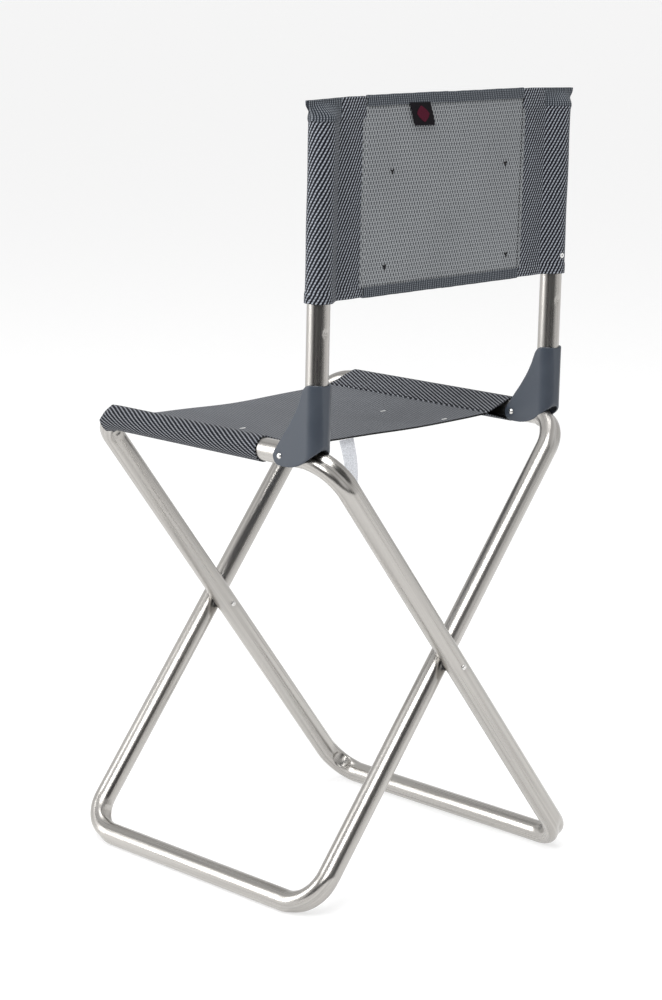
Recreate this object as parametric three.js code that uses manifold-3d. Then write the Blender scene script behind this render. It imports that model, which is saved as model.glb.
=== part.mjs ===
// Folding camp chair: two interlinked aluminium tube loops crossing in an X, a sling seat on the
// two top rails, and a fabric backrest on two posts that fold forwards on moulded brackets.
// Millimetres, +Z up, +Y towards the chair's rear, +X towards the sitter's left.
// The origin is on the floor, midway between the loops.
import * as THREE from "three";
import { mergeVertices } from "three/addons/utils/BufferGeometryUtils.js";
import Module from "manifold-3d";

const wasm = await Module();
wasm.setup();
const { Manifold, Mesh } = wasm;

// Driving dimensions
const TUBE_R = 11; // outer radius, measured to the flats
const BORE_R = 9.8; // inner radius
const SIDES = 16;
const RAIL_X = 172;
const RAIL_Z = 450;
const FOOT_X = 168;
const HALF_LENGTH = 168; // of a loop, leg centre to leg centre
const OFFSET = 12; // each loop is shifted this far along Y, so that the legs pass each other
const BEND_R = 35;
const GAP = 0.3;
const RIVET_BACK = 56.6; // bracket rivet, ahead of the loop's rear leg
const SOCKET_Y = 34.8; // post axis behind the bracket rivet
const RECLINE = THREE.MathUtils.degToRad(0.8);
const POST_TOP = 308; // above the rail's centre
const CHEEK_IN = 11.5;
const CHEEK_OUT = 13.4;
const SEAT_FRONT = -122;
const SEAT_REAR = 89;
const SEAT_SAG_Z = 446.5;
const SEAT_SEAM = 38; // the pocket is sewn shut this far inboard of the rail
const CLOTH = 1.3;
const BACK_LOW = 145; // above the rail's centre
const BACK_HIGH = 328;
const SEAM_X = 115; // where the back's mesh panel is sewn to its sides

const PIVOT_Z = TUBE_R + ((RAIL_Z - TUBE_R) * FOOT_X) / (RAIL_X + FOOT_X);
const LEG = new THREE.Vector2(RAIL_X, RAIL_Z - PIVOT_Z).normalize();

const group = new THREE.Group();
group.name = "folding_camp_chair";

const paint = (color, metalness, roughness) => ({ color, metalness, roughness });
const ALUMINIUM = paint(0xb9b6b0, 0.9, 0.35);
const RIVET_METAL = paint(0xc8c5bf, 0.9, 0.3);
const PLASTIC = paint(0x2f343d, 0, 0.5);
const BLACK_PLASTIC = paint(0x1d1e20, 0, 0.5);
const SLING = paint(0x4a4b4d, 0, 0.9);
const TWILL = paint(0x3a3b3e, 0, 0.9);
const NETTING = paint(0x77787a, 0, 0.9);
const DARK_CLOTH = paint(0x201b1c, 0, 0.9);
const WHITE_CLOTH = paint(0xe4e3df, 0, 0.9);

function add(name, geometry, look) {
  const mesh = new THREE.Mesh(geometry, new THREE.MeshStandardMaterial(look));
  mesh.name = name;
  group.add(mesh);
}

// Booleans
function toManifold(geometry) {
  const bare = geometry.clone();
  bare.deleteAttribute("normal");
  bare.deleteAttribute("uv");
  const merged = mergeVertices(bare, 1e-4);
  return new Manifold(
    new Mesh({
      numProp: 3,
      vertProperties: new Float32Array(merged.attributes.position.array),
      triVerts: new Uint32Array(merged.index.array),
    }),
  );
}

function toGeometry(solid) {
  const mesh = solid.getMesh();
  const geometry = new THREE.BufferGeometry();
  geometry.setAttribute("position", new THREE.BufferAttribute(mesh.vertProperties, 3));
  geometry.setIndex(new THREE.BufferAttribute(mesh.triVerts, 1));
  return geometry;
}

const join = (...parts) => toGeometry(Manifold.union(parts.map(toManifold)));

function cut(body, ...tools) {
  return toGeometry(Manifold.difference([body, ...tools].map(toManifold)));
}

// A path with a cross-section at each of its own stations
class StationPath extends THREE.Curve {
  constructor(points, tangents) {
    super();
    this.points = points;
    this.tangents = tangents;
  }
  getPointAt(u, target = new THREE.Vector3()) {
    return target.copy(this.points[Math.round(u * (this.points.length - 1))]);
  }
  getTangentAt(u, target = new THREE.Vector3()) {
    return target.copy(this.tangents[Math.round(u * (this.points.length - 1))]);
  }
}

function roundedPath(corners, radius, steps) {
  const points = [corners[0].clone()];
  const tangents = [corners[1].clone().sub(corners[0]).normalize()];
  for (let i = 1; i < corners.length - 1; i++) {
    const into = corners[i].clone().sub(corners[i - 1]).normalize();
    const away = corners[i + 1].clone().sub(corners[i]).normalize();
    const centre = corners[i].clone().addScaledVector(into, -radius).addScaledVector(away, radius);
    for (let k = 0; k <= steps; k++) {
      const angle = (k / steps) * (Math.PI / 2);
      points.push(
        centre
          .clone()
          .addScaledVector(away, -radius * Math.cos(angle))
          .addScaledVector(into, radius * Math.sin(angle)),
      );
      const tangent = into.clone().multiplyScalar(Math.cos(angle));
      tangents.push(tangent.addScaledVector(away, Math.sin(angle)));
    }
  }
  points.push(corners.at(-1).clone());
  tangents.push(tangents.at(-1).clone());
  return new StationPath(points, tangents);
}

function polygon(radius, phase, sides = SIDES) {
  const corner = radius / Math.cos(Math.PI / sides);
  const points = [];
  for (let i = 0; i < sides; i++) {
    const angle = phase + ((i + 0.5) / sides) * 2 * Math.PI;
    points.push(new THREE.Vector2(corner * Math.cos(angle), corner * Math.sin(angle)));
  }
  return points;
}

function ring(outer, inner, phase = 0) {
  const shape = new THREE.Shape(polygon(outer, phase));
  if (inner > 0) {
    shape.holes.push(new THREE.Path(polygon(inner, phase)));
  }
  return shape;
}

function sweep(path, outer, inner, phase) {
  return new THREE.ExtrudeGeometry(ring(outer, inner, phase), {
    steps: path.points.length - 1,
    extrudePath: path,
  });
}

// A straight round bar or tube between two points on one line along an axis
function bar(outer, inner, axis, centre, low, high, sides = 24) {
  const corner = outer / Math.cos(Math.PI / sides);
  const profile = [
    new THREE.Vector2(inner, low),
    new THREE.Vector2(corner, low),
    new THREE.Vector2(corner, high),
    new THREE.Vector2(inner, high),
  ];
  if (inner > 0) {
    profile.push(profile[0].clone());
  }
  return turned(profile, axis, centre, sides);
}

function turned(profile, axis, centre, sides) {
  const geometry = new THREE.LatheGeometry(profile, sides);
  if (axis === "x") {
    geometry.rotateZ(-Math.PI / 2);
  }
  if (axis === "z") {
    geometry.rotateX(Math.PI / 2);
  }
  return geometry.translate(...centre);
}

// A rivet with a domed head at each end
function rivet(axis, centre, low, high, shaft, head, rise) {
  const profile = [
    new THREE.Vector2(0, low - rise),
    new THREE.Vector2(head * 0.55, low - rise * 0.85),
    new THREE.Vector2(head * 0.9, low - rise * 0.4),
    new THREE.Vector2(head, low),
    new THREE.Vector2(shaft, low),
    new THREE.Vector2(shaft, high),
    new THREE.Vector2(head, high),
    new THREE.Vector2(head * 0.9, high + rise * 0.4),
    new THREE.Vector2(head * 0.55, high + rise * 0.85),
    new THREE.Vector2(0, high + rise),
  ];
  return turned(profile, axis, centre, 20);
}

// A flat outline in one plane, with a thickness along the third axis
function plate(points, depth) {
  const shape = new THREE.Shape(points.map(([a, b]) => new THREE.Vector2(a, b)));
  return new THREE.ExtrudeGeometry(shape, { depth, bevelEnabled: false });
}

// Tube loops. Each is one tube bent at four corners, its ends meeting on a spigot under the sling.
function loopCorners(side) {
  const front = side * OFFSET - HALF_LENGTH;
  const rear = side * OFFSET + HALF_LENGTH;
  const seam = side * OFFSET - 30;
  const rail = (y) => new THREE.Vector3(side * RAIL_X, y, RAIL_Z);
  const foot = (y) => new THREE.Vector3(-side * FOOT_X, y, TUBE_R);
  return [rail(seam + GAP / 2), rail(rear), foot(rear), foot(front), rail(front), rail(seam - GAP / 2)];
}

// Turns the tube's flats so that one of them lies on the floor under the foot
function floorPhase(side) {
  const along = 2 * LEG.x * LEG.y;
  const across = LEG.y * LEG.y - LEG.x * LEG.x;
  return Math.atan2(-side * along, -across);
}

function loopTube(side, outer, inner, steps) {
  return sweep(roundedPath(loopCorners(side), BEND_R, steps), outer, inner, floorPhase(side));
}

const rivetY = (side) => side * OFFSET + HALF_LENGTH - RIVET_BACK;
const legY = (side, end) => side * OFFSET + end * HALF_LENGTH;

function addLoop(side, name) {
  const hole = side > 0 ? 2.8 : 2.56;
  const drills = [-1, 1].map((end) => {
    const y = legY(side, end);
    return bar(hole, 0, "y", [0, 0, PIVOT_Z], y - 15, y + 15);
  });
  const x = side * RAIL_X;
  drills.push(bar(2.3, 0, "x", [0, rivetY(side), RAIL_Z], x - 15, x + 15));
  add(`frame_loop_${name}`, cut(loopTube(side, TUBE_R, BORE_R, 5), ...drills), ALUMINIUM);
  const seam = side * OFFSET - 30;
  const spigot = bar(9.2, 8, "y", [x, 0, RAIL_Z], seam - 30, seam + 30, 16);
  add(`rail_joint_spigot_${name}`, spigot, ALUMINIUM);
  const head = CHEEK_OUT + GAP;
  const pin = rivet("x", [0, rivetY(side), RAIL_Z], x - head, x + head, 2, 3.1, 1.3);
  add(`bracket_rivet_${name}`, pin, RIVET_METAL);
}

function addPivot(end, name) {
  const high = legY(end, end) + end * (TUBE_R + 2 * GAP);
  const low = legY(-end, end) - end * (TUBE_R + 2 * GAP);
  const span = [Math.min(low, high), Math.max(low, high)];
  add(`pivot_rivet_${name}`, rivet("y", [0, 0, PIVOT_Z], ...span, 2.5, 3.6, 1.2), RIVET_METAL);
  const middle = end * HALF_LENGTH;
  const washer = bar(8, 3, "y", [0, 0, PIVOT_Z], middle - 0.5, middle + 0.5, 20);
  add(`pivot_washer_${name}`, washer, BLACK_PLASTIC);
}

addLoop(1, "left");
addLoop(-1, "right");
addPivot(1, "rear");
addPivot(-1, "front");

// Brackets: two cheeks astride the rail and a socket for the post. Outline along Y and Z from
// the rivet.
const CHEEK = [
  [-9.4, -1], [-7.5, -6], [-3.5, -8.9], [1.5, -9.6], [10, -9.6], [19, -8.4], [28.5, -5],
  [39, 2], [46, 8], [48.4, 11], [48.4, 70], [33, 70], [29, 64], [24, 49], [14, 32.5],
  [4, 19.5], [-4, 8.5], [-8, 3.5],
];

function recline(geometry, side) {
  const y = rivetY(side) + SOCKET_Y;
  geometry.translate(0, -y, -RAIL_Z);
  geometry.rotateX(-RECLINE);
  return geometry.translate(0, y, RAIL_Z);
}

function slot(x, y, yLow, yHigh, zHigh) {
  const box = new THREE.BoxGeometry(2 * CHEEK_IN, yHigh - yLow, zHigh + 40);
  return box.translate(x, y + (yLow + yHigh) / 2, RAIL_Z + (zHigh - 40) / 2);
}

// The rail's rear bend, as the bracket meets it while it tips forwards
function bendClearance(side) {
  return [0, 6, 12, 18, 24].map((degrees) => {
    const corners = loopCorners(side).slice(0, 3);
    const tool = sweep(roundedPath(corners, BEND_R, 5), TUBE_R + 0.45, 0, floorPhase(side));
    tool.translate(0, -rivetY(side), -RAIL_Z);
    tool.rotateX(-THREE.MathUtils.degToRad(degrees));
    return tool.translate(0, rivetY(side), RAIL_Z);
  });
}

function addBracket(side, name) {
  const x = side * RAIL_X;
  const y = rivetY(side);
  const cheeks = plate(CHEEK, 2 * CHEEK_OUT);
  cheeks.applyMatrix4(
    new THREE.Matrix4().set(0, 0, 1, x - CHEEK_OUT, 1, 0, 0, y, 0, 1, 0, RAIL_Z, 0, 0, 0, 1),
  );
  const at = [x, y + SOCKET_Y, RAIL_Z];
  const socket = recline(bar(CHEEK_OUT, 0, "z", at, CHEEK_IN, 72, 32), side);
  const bore = recline(bar(TUBE_R + 0.3, 0, "z", at, 15, 100, 32), side);
  const body = cut(
    join(cheeks, socket),
    slot(x, y, -40, 90, CHEEK_IN),
    slot(x, y, -40, 21, 90),
    bore,
    bar(2.06, 0, "x", [0, y, RAIL_Z], x - 20, x + 20),
    ...bendClearance(side),
  );
  add(`bracket_${name}`, body, PLASTIC);
}

function addPost(side, name) {
  const x = side * RAIL_X;
  const at = [x, rivetY(side) + SOCKET_Y, RAIL_Z];
  const tube = bar(TUBE_R - 0.15, BORE_R, "z", at, 15 + GAP, POST_TOP, SIDES);
  const hole = bar(2.4, 0, "y", [x, 0, RAIL_Z + 118], at[1], at[1] + 20);
  add(`post_${name}`, recline(cut(tube, hole), side), ALUMINIUM);
  const plug = [
    new THREE.Vector2(0, POST_TOP - 12),
    new THREE.Vector2(9, POST_TOP - 12),
    new THREE.Vector2(9.2, POST_TOP + GAP),
    new THREE.Vector2(10.9, POST_TOP + GAP),
    new THREE.Vector2(10.9, POST_TOP + 1.3),
    new THREE.Vector2(9.5, POST_TOP + 2.8),
    new THREE.Vector2(0, POST_TOP + 2.8),
  ];
  add(`post_cap_${name}`, recline(turned(plug, "z", at, 20), side), BLACK_PLASTIC);
  const button = rivet("y", [x, at[1], RAIL_Z + 118], 8, 11.3, 2, 3.2, 1.2);
  add(`post_rivet_${name}`, recline(button, side), RIVET_METAL);
}

// Seat: a sling half runs from its rail pocket to the seat's centre line, where the halves meet.
// A round pocket drawn out to the seam, about the rail's centre
function teardrop(radius, reach) {
  const turn = Math.acos(radius / reach);
  const points = [new THREE.Vector2(-reach, -0.4)];
  for (let i = 0; i <= 14; i++) {
    const angle = (Math.PI - turn) * (i / 7 - 1);
    points.push(new THREE.Vector2(radius * Math.cos(angle), radius * Math.sin(angle)));
  }
  return points;
}

function addSeatHalf(side, name) {
  const length = SEAT_REAR - SEAT_FRONT;
  const outline = new THREE.Shape(teardrop(TUBE_R + 0.8 + CLOTH, SEAT_SEAM));
  outline.holes.push(new THREE.Path(teardrop(TUBE_R + 0.8, SEAT_SEAM - 7)));
  const pocket = new THREE.ExtrudeGeometry(outline, { depth: length, bevelEnabled: false });
  pocket.translate(RAIL_X, RAIL_Z, 0);
  const seam = RAIL_X - SEAT_SEAM;
  const top = [[seam + 2, 450.3], [110, 448.3], [80, 447.2], [45, SEAT_SAG_Z]];
  top.push([GAP / 2, SEAT_SAG_Z]);
  const under = top.map(([x, z]) => [x, z - 1.6]).reverse();
  const half = join(pocket, plate([...top, ...under], length));
  half.rotateX(Math.PI / 2);
  half.translate(0, SEAT_REAR, 0);
  if (side < 0) {
    half.rotateZ(Math.PI);
    half.translate(0, SEAT_REAR + SEAT_FRONT, 0);
  }
  add(`seat_sling_${name}`, half, SLING);
}

// Backrest: a twill side with a sleeve over the post, and half of the mesh panel.
function backFace(x) {
  return SOCKET_Y + RIVET_CENTRE + (x / RAIL_X) * OFFSET;
}

const RIVET_CENTRE = HALF_LENGTH - RIVET_BACK;

function panel(side, from, to) {
  const at = (x) => backFace(side * x);
  const outline = [
    [side * from, at(from) + 0.8], [side * to, at(to) + 0.8],
    [side * to, at(to) - 0.8], [side * from, at(from) - 0.8],
  ];
  return plate(outline, BACK_HIGH - BACK_LOW).translate(0, 0, RAIL_Z + BACK_LOW);
}

function addBackHalf(side, name) {
  const sleeve = new THREE.ExtrudeGeometry(ring(TUBE_R + 0.5 + CLOTH, TUBE_R + 0.5), {
    depth: BACK_HIGH - BACK_LOW,
    bevelEnabled: false,
  });
  sleeve.translate(side * RAIL_X, rivetY(side) + SOCKET_Y, RAIL_Z + BACK_LOW);
  const at = [side * RAIL_X, rivetY(side) + SOCKET_Y, RAIL_Z];
  const lid = bar(TUBE_R + 1, 0, "z", at, BACK_HIGH - CLOTH, BACK_HIGH, SIDES);
  const twill = join(sleeve, lid, panel(side, SEAM_X + GAP, RAIL_X - 11.8));
  add(`back_side_${name}`, recline(twill, side), TWILL);
  add(`back_mesh_${name}`, recline(panel(side, GAP / 2, SEAM_X), side), NETTING);
}

for (const [side, name] of [[1, "left"], [-1, "right"]]) {
  addBracket(side, name);
  addPost(side, name);
  addSeatHalf(side, name);
  addBackHalf(side, name);
}

// Labels, both blank
const ringAt = [-RAIL_X, rivetY(-1) + SOCKET_Y, RAIL_Z + 163];
const eyelet = bar(2.6, 1.1, "y", ringAt, 13.2, 14, 16);
add("back_eyelet_right", recline(eyelet, -1), WHITE_CLOTH);
const tag = new THREE.BoxGeometry(38, 1, 21);
tag.translate(34, backFace(34) + 3, RAIL_Z + 311);
add("back_tag", recline(tag, 1), DARK_CLOTH);
const label = new THREE.BoxGeometry(22, 1, 34);
label.translate(63, SEAT_REAR - 1.5, 426.6);
add("care_label", label, WHITE_CLOTH);

export default group;
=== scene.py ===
"""Looks of a folding camp chair: two crossed aluminium loops, a sling seat and a mesh back on two posts."""

import math

import bmesh
import bpy
import numpy as np
from mathutils import Matrix, Vector


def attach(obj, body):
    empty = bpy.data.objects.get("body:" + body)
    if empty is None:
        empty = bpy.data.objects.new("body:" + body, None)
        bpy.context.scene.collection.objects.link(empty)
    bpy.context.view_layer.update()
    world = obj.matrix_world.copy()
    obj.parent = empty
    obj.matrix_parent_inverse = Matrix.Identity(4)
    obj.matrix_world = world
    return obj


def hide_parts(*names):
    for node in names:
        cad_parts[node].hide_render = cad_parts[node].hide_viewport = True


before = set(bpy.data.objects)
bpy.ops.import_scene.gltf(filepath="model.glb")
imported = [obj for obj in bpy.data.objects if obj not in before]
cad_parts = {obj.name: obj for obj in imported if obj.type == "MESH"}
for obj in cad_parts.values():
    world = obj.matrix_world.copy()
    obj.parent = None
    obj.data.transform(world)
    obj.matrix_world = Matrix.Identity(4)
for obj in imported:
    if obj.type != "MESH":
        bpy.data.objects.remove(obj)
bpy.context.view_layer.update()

MM = 0.001
SIDES = {"left": 1, "right": -1}

# Frame, in millimetres
TUBE_R = 11.0
RAIL_X, RAIL_Z = 172.0, 450.0
FOOT_X = 168.0
HALF_LENGTH = 168.0  # of a loop, leg centre to leg centre
OFFSET = 12.0  # each loop is shifted this far along Y
BEND_R = 35.0
PIVOT_Z = TUBE_R + (RAIL_Z - TUBE_R) * FOOT_X / (RAIL_X + FOOT_X)
RIVET_BACK = 56.6
SOCKET_Y = 34.8  # post axis behind the bracket rivet
RECLINE = math.radians(0.8)
POST_FOOT, POST_TOP = 15.3, 308.0  # above the rail's centre

# Seat and back, in millimetres
SEAT_FRONT, SEAT_REAR = -142.0, 89.0
SEAT_SEAM = 38.0  # the pocket is sewn shut this far inboard of the rail
SEAT_SAG_Z = 446.6
SEAT_CLOTH = 1.1
BACK_LOW, BACK_HIGH = 145.0, 329.0
BACK_SEAM_X = 115.0
VALLEY = 22.0  # the back's sleeve is sewn shut this far inboard of the post
BACK_CLOTH = 1.0
HEM = 9.0


# ---------------------------------------------------------------- meshes


def new_object(name, points, faces, lay=None, sharp=40):
    """A smooth mesh from points in millimetres.

    lay holds where each point lies on the tube or on the cut cloth.
    """
    mesh = bpy.data.meshes.new(name)
    mesh.from_pydata((np.asarray(points) * MM).tolist(), [], faces)
    if lay is not None:
        attribute = mesh.attributes.new("lay", "FLOAT_VECTOR", "POINT")
        attribute.data.foreach_set("vector", np.asarray(lay, np.float32).ravel())
    work = bmesh.new()
    work.from_mesh(mesh)
    bmesh.ops.remove_doubles(work, verts=work.verts, dist=1e-7)
    bmesh.ops.recalc_face_normals(work, faces=work.faces)
    work.to_mesh(mesh)
    work.free()
    mesh.polygons.foreach_set("use_smooth", [True] * len(mesh.polygons))
    mesh.set_sharp_from_angle(angle=math.radians(sharp))
    obj = bpy.data.objects.new(name, mesh)
    bpy.context.scene.collection.objects.link(obj)
    return obj


def grid_faces(rows, columns, start=0, wrap_rows=False, wrap_columns=False):
    """Quads between neighbours of a rows by columns grid of points."""
    r = np.arange(rows if wrap_rows else rows - 1)
    c = np.arange(columns if wrap_columns else columns - 1)
    r, c = (a.ravel() for a in np.meshgrid(r, c, indexing="ij"))
    rn, cn = (r + 1) % rows, (c + 1) % columns
    quads = np.stack([r * columns + c, r * columns + cn, rn * columns + cn, rn * columns + c], 1)
    return (quads + start).tolist()


def fade(x, full, gone):
    """1 up to full, 0 from gone on, smooth between."""
    t = np.clip((np.abs(x) - full) / (gone - full), 0, 1)
    return 1 - t * t * (3 - 2 * t)


def wrapped(angle, middle):
    """The angle from middle, between minus pi and pi."""
    return (angle - middle + math.pi) % (2 * math.pi) - math.pi


def sweep(name, centres, out, side, along, radius, sides, closed=False, sharp=40):
    """A tube along a line of centres. radius(along, angle) is in millimetres, angle 0 towards out."""
    angle = np.arange(sides) / sides * 2 * math.pi
    grid_s, grid_a = np.meshgrid(along, angle, indexing="ij")
    r = radius(grid_s, grid_a)
    cos, sin = np.cos(grid_a)[..., None], np.sin(grid_a)[..., None]
    points = centres[:, None] + r[..., None] * (cos * out[:, None] + sin * side[:, None])
    lay = np.stack([TUBE_R * np.cos(grid_a), TUBE_R * np.sin(grid_a), grid_s], -1) * MM
    rows = len(along)
    faces = grid_faces(rows, sides, wrap_rows=closed, wrap_columns=True)
    if not closed:
        faces += [list(range(sides))[::-1], list(range((rows - 1) * sides, rows * sides))]
    return new_object(name, points.reshape(-1, 3), faces, lay.reshape(-1, 3), sharp)


def frame_axes(axis):
    """Three directions: two across the axis, and the axis."""
    w = Vector(axis).normalized()
    u = w.orthogonal().normalized()
    return np.array([u, w.cross(u), w])


def lathe(name, profile, axis, centre, sides=48, dent=None, sharp=40):
    """A turned piece from (radius, height) pairs about an axis through centre.

    A profile that starts and ends off the axis is closed into a ring.
    """
    profile = np.array(profile, float)
    u, v, w = frame_axes(axis)
    angle = np.arange(sides) / sides * 2 * math.pi
    radial = np.cos(angle)[:, None] * u + np.sin(angle)[:, None] * v
    points = profile[:, None, :1] * radial + profile[:, None, 1:] * w + np.array(centre, float)
    lay = np.stack(
        [
            profile[:, None, 0] * np.cos(angle),
            profile[:, None, 0] * np.sin(angle),
            profile[:, None, 1] + 0 * angle,
        ],
        -1,
    )
    points = points.reshape(-1, 3)
    if dent:
        points = dent(points)
    hollow = profile[0, 0] > 0 and profile[-1, 0] > 0
    faces = grid_faces(len(profile), sides, wrap_rows=hollow, wrap_columns=True)
    return new_object(name, points, faces, lay.reshape(-1, 3) * MM, sharp)


def cloth(name, middle, lay, thickness, sharp=50):
    """A sheet with that thickness about a grid of points. lay is where each point lies on the flat cut."""
    across, down = np.gradient(middle, axis=1), np.gradient(middle, axis=0)
    normal = np.cross(across, down)
    normal /= np.linalg.norm(normal, axis=2, keepdims=True)
    rows, columns = middle.shape[:2]
    count = rows * columns
    faces = grid_faces(rows, columns)
    faces += [f[::-1] for f in grid_faces(rows, columns, start=count)]
    number = np.arange(count).reshape(rows, columns)
    rim = np.concatenate([number[0], number[1:, -1], number[-1, -2::-1], number[-2:0:-1, 0]])
    for a, b in zip(rim, np.roll(rim, -1)):
        faces.append([int(a), int(b), int(b) + count, int(a) + count])
    points = np.concatenate([(middle + s * normal * thickness / 2).reshape(-1, 3) for s in (1, -1)])
    flat = [np.concatenate([lay, np.full((rows, columns, 1), s)], 2).reshape(-1, 3) for s in (0, 1)]
    return new_object(name, points, faces, np.concatenate(flat) * MM, sharp)


def capsules(name, ends, radius):
    """Short threads, each between two points, as little rounded rods in one mesh."""
    points, faces, lay = [], [], []
    steps = [(-1.0, 0.0), (-0.86, 0.7), (-0.4, 1.0), (0.4, 1.0), (0.86, 0.7), (1.0, 0.0)]
    sides = 8
    for a, b in ends:
        a, b = np.array(a, float), np.array(b, float)
        u, v, w = frame_axes(b - a)
        half = np.linalg.norm(b - a) / 2
        start = len(points)
        for t, r in steps:
            for k in range(sides):
                turn = k / sides * 2 * math.pi
                around = math.cos(turn) * u + math.sin(turn) * v
                points.append((a + b) / 2 + w * t * half + radius * r * around)
                lay.append((turn, t, 0))
        faces += grid_faces(len(steps), sides, start=start, wrap_columns=True)
    return new_object(name, np.array(points), faces, np.array(lay) * MM)


def finish_piece(obj, body, material, slot, *nodes):
    obj.data.materials.clear()
    obj.data.materials.append(material)
    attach(obj, body)
    if nodes:
        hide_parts(*nodes)
    return obj


# ------------------------------------------------------------- materials


class Shader:
    """A material's node tree, with short calls for the nodes that the looks are made of."""

    def __init__(self, name):
        self.material = bpy.data.materials.new(name)
        self.material.use_nodes = True
        self.tree = self.material.node_tree
        self.surface = self.tree.nodes["Principled BSDF"]
        self.output = self.tree.nodes["Material Output"]

    def node(self, kind, **settings):
        made = self.tree.nodes.new(kind)
        for key, value in settings.items():
            setattr(made, key, value)
        return made

    def put(self, socket, value):
        if isinstance(value, bpy.types.NodeSocket):
            self.tree.links.new(value, socket)
        elif isinstance(value, tuple) and len(value) == 3 and len(socket.default_value) == 4:
            socket.default_value = (*value, 1.0)
        else:
            socket.default_value = value

    def math(self, operation, *values, clamp=False):
        made = self.node("ShaderNodeMath", operation=operation, use_clamp=clamp)
        for socket, value in zip(made.inputs, values):
            self.put(socket, value)
        return made.outputs[0]

    def lay(self):
        return self.node("ShaderNodeAttribute", attribute_name="lay").outputs["Vector"]

    def place(self):
        return self.node("ShaderNodeTexCoord").outputs["Object"]

    def split(self, vector):
        made = self.node("ShaderNodeSeparateXYZ")
        self.put(made.inputs[0], vector)
        return made.outputs

    def scaled(self, vector, scale):
        made = self.node("ShaderNodeVectorMath", operation="MULTIPLY")
        self.put(made.inputs[0], vector)
        made.inputs[1].default_value = scale
        return made.outputs[0]

    def noise(self, vector, scale=1.0, detail=3.0, roughness=0.55):
        made = self.node("ShaderNodeTexNoise")
        self.put(made.inputs["Vector"], vector)
        made.inputs["Scale"].default_value = scale
        made.inputs["Detail"].default_value = detail
        made.inputs["Roughness"].default_value = roughness
        return made.outputs["Fac"]

    def span(self, value, low, high, to_low=0.0, to_high=1.0, smooth=False):
        made = self.node("ShaderNodeMapRange", interpolation_type="SMOOTHSTEP" if smooth else "LINEAR")
        given = {"Value": value, "From Min": low, "From Max": high, "To Min": to_low, "To Max": to_high}
        for key, v in given.items():
            self.put(made.inputs[key], v)
        return made.outputs[0]

    def blend(self, share, a, b):
        made = self.node("ShaderNodeMix", data_type="RGBA")
        self.put(made.inputs[0], share)
        self.put(made.inputs[6], a)
        self.put(made.inputs[7], b)
        return made.outputs[2]

    def wave(self, value, pitch):
        """From 0 to 1 and back once in each pitch."""
        turns = self.math("MULTIPLY", value, 2 * math.pi / pitch)
        return self.math("MULTIPLY_ADD", self.math("SINE", turns), 0.5, 0.5)

    def bump(self, height, distance, strength=1.0, normal=None):
        made = self.node("ShaderNodeBump")
        made.inputs["Strength"].default_value = strength
        made.inputs["Distance"].default_value = distance
        self.put(made.inputs["Height"], height)
        if normal is not None:
            self.put(made.inputs["Normal"], normal)
        return made.outputs[0]

    def set(self, **values):
        for key, value in values.items():
            self.put(self.surface.inputs[key.replace("_", " ")], value)


def aluminium():
    """Drawn tube: fine marks along it, a soft change of sheen, and faint handling marks."""
    s = Shader("aluminium_tube")
    lay = s.lay()
    drawn = s.noise(s.scaled(lay, (330.0, 330.0, 3.0)), detail=1.5)
    broad = s.noise(s.scaled(lay, (60.0, 60.0, 4.0)), detail=2.0)
    specks = s.noise(s.scaled(s.place(), (260.0, 260.0, 260.0)), detail=3.0, roughness=0.6)
    tone = s.blend(s.span(drawn, 0.35, 0.65), (0.40, 0.385, 0.365), (0.505, 0.488, 0.463))
    tone = s.blend(s.span(specks, 0.6, 0.8, 0, 0.15), tone, (0.37, 0.353, 0.33))
    rough = s.math("ADD", s.span(drawn, 0.3, 0.7, 0.24, 0.31), s.span(broad, 0.3, 0.7, -0.02, 0.04))
    s.set(Base_Color=tone, Metallic=1.0, Roughness=rough, Normal=s.bump(drawn, 0.00006, 0.12))
    return s.material


def bright_metal(name, tone, rough):
    s = Shader(name)
    marks = s.noise(s.scaled(s.place(), (1800.0, 1800.0, 1800.0)), detail=4.0)
    s.set(
        Base_Color=s.blend(marks, tone, tuple(0.8 * t for t in tone)),
        Metallic=1.0,
        Roughness=s.span(marks, 0.3, 0.7, rough - 0.06, rough + 0.08),
        Normal=s.bump(marks, 0.00004, 0.4),
    )
    return s.material


def plastic(name, tone, rough, grain):
    """Moulded plastic with a fine grain, a little cloudiness and rubbed spots."""
    s = Shader(name)
    place = s.place()
    fine = s.noise(s.scaled(place, (grain, grain, grain)), detail=4.0)
    cloud = s.noise(s.scaled(place, (55.0, 55.0, 55.0)), detail=3.0)
    colour = s.blend(cloud, tuple(0.9 * t for t in tone), tuple(1.12 * t for t in tone))
    rubbed = s.span(cloud, 0.3, 0.7, rough - 0.05, rough + 0.06)
    s.set(
        Base_Color=colour,
        Roughness=s.math("ADD", rubbed, s.span(fine, 0.4, 0.6, -0.02, 0.02)),
        Normal=s.bump(fine, 0.00006, 0.35),
    )
    return s.material


def slant(s, u, v, degrees, pitch):
    """Lines at an angle from u, repeating every pitch along u."""
    lean = math.tan(math.radians(90 - degrees))
    return s.wave(s.math("MULTIPLY_ADD", v, -lean, u), pitch)


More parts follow.
